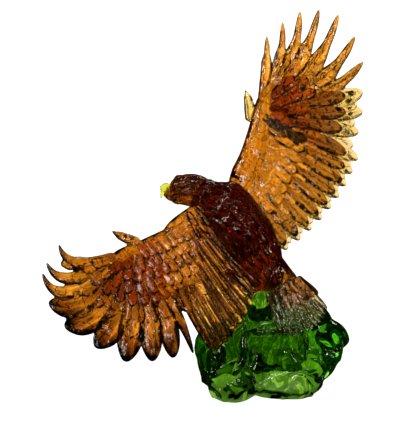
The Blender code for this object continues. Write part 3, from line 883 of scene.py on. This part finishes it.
def head(forms):
    """Skull, cheeks and brow, level and facing -X, down to the flat where the beak is bonded."""
    x, y, z = Vector((1, 0, 0)), Vector((0, 1, 0)), Vector((0, 0, 1))
    skull = (
        (HEAD_PLACE + x * HEAD_LENGTH * 0.9 - z * 8 * MM, HEAD_WIDTH * 0.8, HEAD_HEIGHT * 0.66),
        (HEAD_PLACE + x * HEAD_LENGTH * 0.3 - z * 1 * MM, HEAD_WIDTH * 0.55, HEAD_HEIGHT * 0.54),
        (HEAD_PLACE - x * HEAD_LENGTH * 0.1, HEAD_WIDTH * 0.5, HEAD_HEIGHT * 0.48),
        (HEAD_PLACE - x * HEAD_LENGTH * 0.42 - z * 1 * MM, HEAD_WIDTH * 0.34, HEAD_HEIGHT * 0.34),
        (HEAD_PLACE - x * HEAD_LENGTH * 0.62 - z * 3 * MM, HEAD_WIDTH * 0.16, HEAD_HEIGHT * 0.2),
    )
    limb(forms, skull, z, sides=32, rings=32, colours=(BROWN, GOLD))
    for side in (-1, 1):
        out = y * side * HEAD_WIDTH
        brow = (
            (HEAD_PLACE - x * HEAD_LENGTH * 0.4 + out * 0.22 + z * HEAD_HEIGHT * 0.16, 4 * MM, 3 * MM),
            (HEAD_PLACE - x * HEAD_LENGTH * 0.1 + out * 0.36 + z * HEAD_HEIGHT * 0.28, 4 * MM, 4 * MM),
            (HEAD_PLACE + x * HEAD_LENGTH * 0.2 + out * 0.38 + z * HEAD_HEIGHT * 0.26, 3 * MM, 3 * MM),
        )
        limb(forms, brow, z, sides=12, rings=12, colours=(BROWN, GOLD))
        eye = HEAD_PLACE - x * HEAD_LENGTH * 0.16 + out * 0.44 + z * HEAD_HEIGHT * 0.08
        corner = x * 3 * MM
        ball = ((eye - corner, 2 * MM, 2 * MM), (eye, 3.2 * MM, 3 * MM), (eye + corner, 2 * MM, 2 * MM))
        limb(forms, ball, z, sides=12, rings=10, colours=(SHADOW, SHADOW))
    skin = Round(tuple(reversed(skull)), z)
    row = 0
    u = 22 * MM
    while u < skin.length - 10 * MM:
        v = -50 * MM + (2.6 * MM if row % 2 else 0)
        while v < 50 * MM:
            # Gold on the crown is a painted highlight along the head's top. The jaw scales are gold too, and
            # the others are brown with painted shade at their tips.
            in_crown_highlight, on_jaw = abs(v) < 8 * MM, abs(v) > 34 * MM
            tints = (GOLD, GOLD) if in_crown_highlight or on_jaw else (BROWN, SHADOW)
            feather(forms, skin, (u, v), (u + 15 * MM, v), 3.8 * MM, 4.2 * MM, SICKLE, tilt=0, rise=2 * MM,
                    layer=-0.7 * MM, sides=10, rings=8, tints=tints, dark=1.1)
            v += 7 * MM
        u += 8 * MM
        row += 1


def beak_joint():
    """The plane where the beak is bonded: a point, and the direction out of the face."""
    return HEAD_PLACE + Vector((-HEAD_LENGTH * 0.44, 0, 3 * MM)), Vector((-0.84, 0, 0.54)).normalized()


def feather_group():
    """Drawn feathers: dark broken lines and flecks of painted shade along the rims and over the feathers,
    streaks that follow each shaft with painted highlights and painted shade among their tones, and their
    relief.
    """
    group = bpy.data.node_groups.new("feather lines", "ShaderNodeTree")
    for name, kind in (("Tint", "Color"), ("Streaks", "Float"), ("Rim", "Float"), ("Grain", "Vector"),
                       ("Place", "Vector"), ("Dark", "Color")):
        group.interface.new_socket(name, in_out="INPUT", socket_type="NodeSocket" + kind)
    group.interface.new_socket("Color", in_out="OUTPUT", socket_type="NodeSocketColor")
    group.interface.new_socket("Height", in_out="OUTPUT", socket_type="NodeSocketFloat")
    nodes, links = group.nodes, group.links
    start = nodes.new("NodeGroupInput")
    end = nodes.new("NodeGroupOutput")

    def maths(operation, a, b, clamp=False):
        node = add_node(group, "Math")
        node.operation = operation
        node.use_clamp = clamp
        for socket, value in zip(node.inputs, (a, b)):
            if isinstance(value, (int, float)):
                socket.default_value = value
            else:
                links.new(value, socket)
        return node.outputs[0]

    def clouds(vector, scale, detail):
        node = add_node(group, "TexNoise", {"Scale": scale, "Detail": detail})
        links.new(vector, node.inputs["Vector"])
        return node.outputs["Fac"]

    # Painted shade: the rim share, widened and broken up by noise, gives dark lines along the feathers'
    # edges, with dark flecks where the streaks run strong.
    patches = clouds(start.outputs["Place"], 70, 2)
    reach = maths("MULTIPLY_ADD", patches, 1.1)
    reach.node.inputs[2].default_value = -1.26
    line = maths("MULTIPLY", maths("ADD", start.outputs["Rim"], reach), 9, True)
    gaps = clouds(start.outputs["Place"], 130, 1)
    line = maths("MULTIPLY", line, maths("MULTIPLY", maths("SUBTRACT", gaps, 0.36), 9, True), True)
    flecks = clouds(start.outputs["Place"], 85, 1)
    flecks.node.inputs["Distortion"].default_value = 2.5
    flecks = maths("MULTIPLY", maths("SUBTRACT", flecks, 0.61), 14, True)
    share = maths("MULTIPLY", start.outputs["Streaks"], 2.2, True)
    line = maths("MAXIMUM", line, maths("MULTIPLY", flecks, share))
    stretch = add_node(group, "VectorMath")
    stretch.operation = "MULTIPLY"
    stretch.inputs[1].default_value = (28, 210, 1)
    wire(start, "Grain", stretch, 0)
    streak = clouds(stretch.outputs["Vector"], 1, 2.5)
    # The streak tones run from painted highlight, whiter and brighter than the tint, through the tint to
    # near-black painted shade.
    tones = add_node(group, "ValToRGB")
    tones.color_ramp.interpolation = "EASE"
    for place, colour in ((0.36, (2.2, 2.4, 2.6, 1)), (0.44, (1, 1, 1, 1)), (0.5, (0.8, 0.6, 0.5, 1))):
        tones.color_ramp.elements.new(place).color = colour
    tones.color_ramp.elements[0].color = (2.2, 2.4, 2.6, 1)
    tones.color_ramp.elements[-1].color = (0.03, 0.02, 0.02, 1)
    tones.color_ramp.elements[-1].position = 0.57
    links.new(streak, tones.inputs["Fac"])
    toned = add_node(group, "Mix")
    toned.data_type = "RGBA"
    toned.blend_type = "MULTIPLY"
    toned.clamp_result = True
    wire(start, "Streaks", toned, "Factor")
    wire(start, "Tint", toned, "A")
    wire(tones, "Color", toned, "B")
    # Where the lines and flecks fall, the colour gives way to the dark colour of the painted shade.
    painted_shade_mix = add_node(group, "Mix")
    painted_shade_mix.data_type = "RGBA"
    links.new(line, painted_shade_mix.inputs["Factor"])
    wire(toned, "Result", painted_shade_mix, "A")
    wire(start, "Dark", painted_shade_mix, "B")
    wire(painted_shade_mix, "Result", end, "Color")
    height = maths("MULTIPLY", streak, maths("MULTIPLY_ADD", start.outputs["Streaks"], 0.9))
    height.node.inputs[1].links[0].from_node.inputs[2].default_value = 0.35
    links.new(maths("SUBTRACT", height, maths("MULTIPLY", line, 0.25)), end.inputs["Height"])


def draw_feathers(tree, shader, dark, waves, distance, relief):
    """Feeds the drawn feathers, with their painted shade and painted highlights, and the cast ripple to a
    glass shader.
    """
    place = add_node(tree, "TexCoord")
    lines = add_node(tree, "Group")
    lines.node_tree = bpy.data.node_groups["feather lines"]
    lines.inputs["Dark"].default_value = (*dark, 1)
    tint, rim, grain = (add_node(tree, "Attribute") for _ in range(3))
    tint.attribute_name = "tint"
    rim.attribute_name = "rim"
    grain.attribute_name = "grain"
    links = tree.links
    wire(place, "Object", lines, "Place")
    wire(tint, "Color", lines, "Tint")
    wire(tint, "Alpha", lines, "Streaks")
    wire(rim, "Fac", lines, "Rim")
    wire(grain, "Vector", lines, "Grain")
    wire(lines, "Color", shader, "Base Color")
    ripple = add_ripple(tree, waves, distance)
    calm = add_node(tree, "Math")
    calm.operation = "MULTIPLY"
    calm.use_clamp = True
    calm.inputs[1].default_value = 3
    wire(tint, "Alpha", calm, 0)
    calmed = add_node(tree, "Math")
    calmed.operation = "MULTIPLY"
    links.new(ripple.inputs["Height"].links[0].from_socket, calmed.inputs[0])
    wire(calm, "Value", calmed, 1)
    wire(calmed, "Value", ripple, "Height")
    bump = add_node(tree, "Bump", {"Distance": relief})
    wire(lines, "Height", bump, "Height")
    wire(ripple, "Normal", bump, "Normal")
    wire(bump, "Normal", shader, "Normal")


feather_group()
amber_glass, tree, shader = glass("amber glass", 0.03, 1.52, 210, (0.885, 0.78, 0.15))
# The near-black colour is that of the painted shade at the feathers' rims and flecks.
draw_feathers(tree, shader, (0.001, 0.0006, 0.0004), 62, 0.0032, 0.0012)

forms = []
body(forms)
head(forms)
arm(forms, FAR_WING, 9 * MM, GOLD)
arm(forms, NEAR_WING, 4 * MM, HONEY)


def far_tints(i):
    if i < FAR_FINGERS:
        return AMBER, GOLD, GOLD
    return AMBER, AMBER, GOLD, STRAW, STRAW


def far_rims(i):
    """How dark a far flight feather's painted rim shade is, and on which side: left on the fingers, below on
    the others.
    """
    return (1.1, -1) if i < FAR_FINGERS else (0.45, 1)


def near_rims(i):
    if i <= NEAR_SICKLES:
        return 1.1, 1
    return (1.25, 0) if i < len(NEAR_PRIMARIES) else (0.95, 0)


HANGING = (0.85, 0.38, 0.06, 1.0)
DUSK = (0.06, 0.014, 0.003, 0.9)


def near_tints(i):
    if i < NEAR_SICKLES:
        return AMBER, GOLD, BROWN
    if i < len(NEAR_PRIMARIES):
        return AMBER, AMBER, AMBER, HONEY, BROWN, SHADOW
    return (BROWN, HANGING, HANGING, HANGING) if i % 2 else (UMBER, DUSK, BROWN, HANGING)


flight_feathers(forms, FAR_WING, FAR_PRIMARIES, FAR_SECONDARIES, (7 * MM, 6 * MM), 13 * MM, 0, far_tints,
                far_rims)
flight_feathers(forms, NEAR_WING, NEAR_PRIMARIES, NEAR_SECONDARIES, (8 * MM, 8 * MM), 9.5 * MM, 20 * MM,
                near_tints, near_rims)
far_lines = quills(FAR_WING, FAR_PRIMARIES, FAR_SECONDARIES)
near_lines = quills(NEAR_WING, NEAR_PRIMARIES, NEAR_SECONDARIES)
# Dark and pale ridges run down the near wing's hanging feathers, from the coverts or the shoulder. The
# near-black ones are painted shade, and the pale ones stand partly for painted highlight streaks.
for i, (root, tip) in enumerate(near_lines[len(NEAR_PRIMARIES):]):
    aside = Vector((root.y - tip.y, tip.x - root.x)).normalized() * MM
    lifted = 10 * MM * (i / 9) ** 2
    for offset, first, second in (
        (-4.6, SHADOW, BROWN),
        (-1.8, STRAW, HANGING),
        (0.9, SHADOW, SHADOW),
        (3.2, HANGING, STRAW),
        (5, UMBER, SHADOW),
    ):
        sway = noise.noise(Vector((i * 1.7 + offset, offset * 1.3, 0.2)))
        start = root.lerp(tip, 0.56 - 0.44 * smooth(2, 7, i) + 0.16 * sway)
        end = root.lerp(tip, 0.93 + 0.1 * sway)
        tints = (first, second) if sway > 0 else (second, first, second)
        feather(forms, NEAR_WING, start + aside * (offset - sway), end + aside * (offset + 2.4 * sway),
                (1.9 + sway) * MM, 4.5 * MM, PADDLE, knee=(0.5, -0.03 + 0.05 * sway),
                layer=4.2 * MM + lifted + sway * MM, rise=lifted, sides=10, rings=24, tints=tints, dark=0)
# The shoulder, which runs up to the neck.
shoulder = (
    (NEAR_WING.at(78 * MM, 20 * MM, 0), 6 * MM, 4 * MM),
    (NEAR_WING.at(32 * MM, 12 * MM, 3 * MM), 16 * MM, 8 * MM),
    (NEAR_WING.at(2 * MM, 9 * MM, 6 * MM), 17 * MM, 9 * MM),
    (NEAR_WING.at(-24 * MM, 8 * MM, 9 * MM), 13 * MM, 8 * MM),
)
limb(forms, shoulder, NEAR_WING.dorsal, sides=24, rings=20, colours=(GOLD, GOLD, HONEY))
for i in range(26):
    sway = noise.noise(Vector((i * 0.61, 0.8, 0.1)))
    place = Vector(((20 - 9 * (i % 6) + 5 * sway) * MM, (-2 + 6 * (i // 6) + 3 * sway) * MM))
    tip = place + Vector((-3 * MM, (13 + 5 * sway) * MM))
    feather(forms, NEAR_WING, place, tip, 3.4 * MM, 4 * MM, PADDLE, layer=(14.5 + sway) * MM, rise=1 * MM,
            sides=10, rings=10, tints=(GOLD, HANGING), dark=1.2)
# A pale under layer that fills the gaps between the far wing's inner feathers.
for (root, tip), (next_root, next_tip) in zip(far_lines[FAR_FINGERS:], far_lines[FAR_FINGERS + 1:]):
    root, tip = root.lerp(next_root, 0.5), tip.lerp(next_tip, 0.5)
    feather(forms, FAR_WING, root.lerp(tip, 0.3), root.lerp(tip, 0.96), 12 * MM, 4 * MM, PADDLE,
            layer=-1.5 * MM, tints=(GOLD, GOLD, STRAW, STRAW), dark=0.4)
# Long coverts over the far wing's inner feathers, with painted shade along their lower sides.
for i, (root, tip) in enumerate(far_lines):
    if i >= FAR_FINGERS:
        reach = min(0.94, 0.82 + 0.04 * max(0, i - 9))
        feather(forms, FAR_WING, root.lerp(tip, 0.1), root.lerp(tip, reach), 12.5 * MM, 5 * MM, PADDLE,
                knee=(0.5, -0.04), layer=3.2 * MM, rise=1 * MM, rings=24, dark=1.2, dark_side=1,
                tints=(AMBER, UMBER, UMBER) if i < 11 else (HONEY, AMBER, AMBER))
# The coverts' tints by the flight feather that they lie on, as (feather, tint) stops.
FAR_OUTER = ((0, GOLD), (3, HONEY), (5, RUST), (9, RUST), (11, HONEY), (16, GOLD), (20, GOLD))
FAR_INNER = (
    (0, HONEY), (2, RUST), (4, RED), (8.8, RED), (9.3, SHADOW), (10.6, SHADOW), (11, GOLD), (20, GOLD),
)
FAR_ARM = ((0, HONEY), (3, RUST), (6, RED), (8.8, RED), (9.3, SHADOW), (10.4, SHADOW), (20, GOLD))
for distance, length, half_width, spacing, layer, tints, first, last in (
    (60, 34, 10, 16, 3.2, (FAR_OUTER, FAR_OUTER), 1.6, 99),
    (42, 32, 10, 16, 4.6, (FAR_INNER, FAR_INNER), 2.2, 99),
    (27, 26, 8.5, 13, 5.4, (FAR_INNER, FAR_INNER), 1.9, 11.4),
    (13, 22, 7.5, 11, 6.0, (FAR_INNER, FAR_INNER), 2.4, 11),
    (0, 20, 7, 10, 6.4, (FAR_ARM, FAR_ARM), 3, 10.6),
):
    covert_row(forms, FAR_WING, far_lines, distance, length, half_width, spacing, layer, tints, first, last)
NEAR_OUTER = ((0, HONEY), (3, HONEY), (5, AMBER), (9, AMBER), (12, HONEY), (15, AMBER), (20, BROWN))
NEAR_INNER = ((0, GOLD), (3, HONEY), (4.5, RUST), (9.5, RUST), (11, GOLD), (15, GOLD), (20, BROWN))
NEAR_TIPS = ((0, GOLD), (3, AMBER), (5, RED), (9.5, RED), (11, AMBER), (15, BROWN), (20, SHADOW))
for distance, length, half_width, spacing, layer, tints, first in (
    (-9, 22, 7, 11.5, 7.6, (NEAR_INNER, NEAR_INNER), 2.2),
    (60, 38, 10, 16, 2.8, (NEAR_OUTER, NEAR_OUTER), 1.2),
    (46, 26, 9, 14.5, 4.2, (NEAR_INNER, NEAR_TIPS), 1.6),
    (32, 25, 8.5, 13.5, 5.4, (NEAR_INNER, NEAR_INNER), 1.2),
    (18, 24, 8, 12.5, 6.4, (NEAR_INNER, NEAR_TIPS), 1.7),
    (4, 23, 7.5, 12, 7.2, (NEAR_INNER, NEAR_INNER), 1.4),
):
    covert_row(forms, NEAR_WING, near_lines, distance, length, half_width, spacing, layer, tints, first)
# A broken band of small dark scales runs back from the far wrist.
for i in range(22):
    sway = noise.noise(Vector((i * 0.73, 0.4, 0.9)))
    place = far_lines[9][0].lerp(far_lines[10][0], 0.6 + sway)
    place += Vector((-14 * sway * MM, (i * 2.4 - 4) * MM))
    tip = place + Vector((-2 * MM, (9 + 6 * sway) * MM))
    feather(forms, FAR_WING, place, tip, (3.4 + 2 * sway) * MM, 4 * MM, PADDLE, layer=7.4 * MM, sides=10,
            rings=10, tints=(SHADOW, SHADOW), dark=1.2)
thumb(forms, FAR_WING, -34, 30, (STRAW, STRAW))
thumb(forms, NEAR_WING, -59, 27, (GOLD, BROWN))
eagle = fused("eagle_casting", forms, amber_glass, EAGLE_VOXEL, melt=1)
thinned(eagle, EAGLE_TRIANGLES)
point, out = beak_joint()
cut(eagle, (0.03, 0.05, 0.05), facing(point, out, Vector((0, 1, 0))))
_, _, lift = tail_frame()
rump = TAIL_HUB + tail_direction(TAIL_MIDDLE) * TAIL_JOINT_RADIUS
cut(eagle, (0.04, 0.085, 0.06), facing(rump, tail_direction(TAIL_MIDDLE), lift))
seat = from_seat(0, 0, 0) + Vector((0, 0, BOND))
cut(eagle, (0.05, 0.056, 0.056), facing(seat, Vector((0, 0, -1)), Vector((0, 1, 0))))
shade_smooth(eagle)
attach(eagle, "root")
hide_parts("eagle")


# The tail.
# A fan of twelve narrow feathers in almost clear straw glass, cast apart and bonded to the rump.

straw_glass, tree, shader = glass("straw glass", 0.03, 1.62, 60, (0.75, 0.6, 0.1))
# The near-black colour is that of the painted shade at the feathers' rims.
draw_feathers(tree, shader, (0.004, 0.003, 0.001), 140, 0.0012, 0.0006)
CREAM = (0.95, 0.93, 0.8, 0.5)
TAN = (0.78, 0.48, 0.13, 0.7)
PALE_TAN = (0.95, 0.8, 0.42, 0.4)
TAIL_VOXEL = 0.9 * MM


class Fan:
    """The back of the tail's fan: u runs across it, v is the distance from the hub, h up off the back."""

    def __init__(self, hub, lift):
        self.hub = hub
        self.lift = lift

    def at(self, u, v, h):
        degrees = TAIL_MIDDLE + math.degrees(u / (80 * MM))
        off = (degrees - TAIL_MIDDLE) / (TAIL_MIDDLE - TAIL_FIRST_ANGLE)
        return self.hub + tail_direction(degrees) * v + self.lift * (h - 5 * MM * off ** 2)


forms = []
for i in range(TAIL_FEATHERS):
    degrees = TAIL_FIRST_ANGLE + (TAIL_LAST_ANGLE - TAIL_FIRST_ANGLE) * i / (TAIL_FEATHERS - 1)
    off = abs(degrees - TAIL_MIDDLE) / (TAIL_MIDDLE - TAIL_FIRST_ANGLE)
    direction = tail_direction(degrees)
    reach = TAIL_REACH - TAIL_ROUNDING * off ** 2
    hub = TAIL_HUB + lift * (-5 * MM * off ** 2 + (1.2 * MM if i % 2 else 0))
    stations = (
        (hub + direction * TAIL_ROOT_RADIUS, TAIL_FEATHER_WIDTH * 0.45, TAIL_THICKNESS * 0.7),
        (hub + direction * (TAIL_ROOT_RADIUS + reach) / 2, TAIL_FEATHER_WIDTH * 0.55, TAIL_THICKNESS * 0.5),
        (hub + direction * reach, TAIL_FEATHER_WIDTH * 0.4, TAIL_THICKNESS * 0.36),
    )
    # Painted shade darkens each feather's sides, where it meets the next.
    limb(forms, stations, lift, sides=16, rings=24, colours=(TAN, CREAM if i < 6 else TAN, CREAM), dark=1.15)
    # A pale rib runs down each feather. Its cream tint stands partly for a painted highlight along it.
    rib = [(place + lift * (height - 0.6 * MM), 2.3 * MM, 2.3 * MM) for place, _, height in stations]
    pale = CREAM if i < 6 else PALE_TAN
    limb(forms, rib, lift, sides=14, rings=24, colours=(pale, pale))
fall = Fan(TAIL_HUB, lift)
for reach, spacing, layer in ((100, 6, 6.4), (91, 6.5, 7.8), (83, 7, 9)):
    across = -27
    while across < 29:
        sway = noise.noise(Vector((across * 0.37, reach, 0.3)))
        tip = (across * MM, (reach + 12 * sway + across * 0.35) * MM)
        feather(forms, fall, (across * MM, 58 * MM), tip, 4.2 * MM, 4 * MM, PADDLE, layer=layer * MM,
                rise=-1 * MM, sides=10, rings=14, tints=(UMBER, UMBER, BROWN))
        across += spacing
tail = fused("tail_fan", forms, straw_glass, TAIL_VOXEL, melt=1)
point = TAIL_HUB + tail_direction(TAIL_MIDDLE) * (TAIL_JOINT_RADIUS + BOND)
cut(tail, (0.05, 0.12, 0.12), facing(point, -tail_direction(TAIL_MIDDLE), lift))
shade_smooth(tail)
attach(tail, "root")
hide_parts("tail")


# The beak.
# A hooked bill of yellow-green glass, bonded to the flat of the face.

BEAK_VOXEL = 0.45 * MM

yellow_glass, _, _ = glass("yellow glass", 0.15, 1.3, 340, (0.87, 0.86, 0.15))
point, out = beak_joint()
x, z = Vector((1, 0, 0)), Vector((0, 0, 1))
forms = []
hook = (
    (point + x * 6 * MM - z * 1 * MM, BEAK_WIDTH * 0.85, BEAK_WIDTH * 0.66),
    (point - x * BEAK_LENGTH * 0.28 - z * 1 * MM, BEAK_WIDTH * 0.7, BEAK_WIDTH * 0.56),
    (point - x * BEAK_LENGTH * 0.5 - z * BEAK_DROP * 0.42, BEAK_WIDTH * 0.36, BEAK_WIDTH * 0.38),
    (point - x * BEAK_LENGTH * 0.6 - z * BEAK_DROP * 1.12, BEAK_WIDTH * 0.08, BEAK_WIDTH * 0.1),
)
limb(forms, hook, Vector((0, 1, 0)), sides=24, rings=24)
lower = (
    (point + x * 5 * MM - z * BEAK_DROP * 0.36, BEAK_WIDTH * 0.36, BEAK_WIDTH * 0.3),
    (point - x * BEAK_LENGTH * 0.3 - z * BEAK_DROP * 0.4, BEAK_WIDTH * 0.24, BEAK_WIDTH * 0.22),
)
limb(forms, lower, Vector((0, 1, 0)), sides=20, rings=16)
beak = fused("bill", forms, yellow_glass, BEAK_VOXEL, melt=1)
cut(beak, (0.03, 0.06, 0.06), facing(point + out * BOND, -out, Vector((0, 1, 0))))
shade_smooth(beak)
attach(beak, "root")
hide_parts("beak")
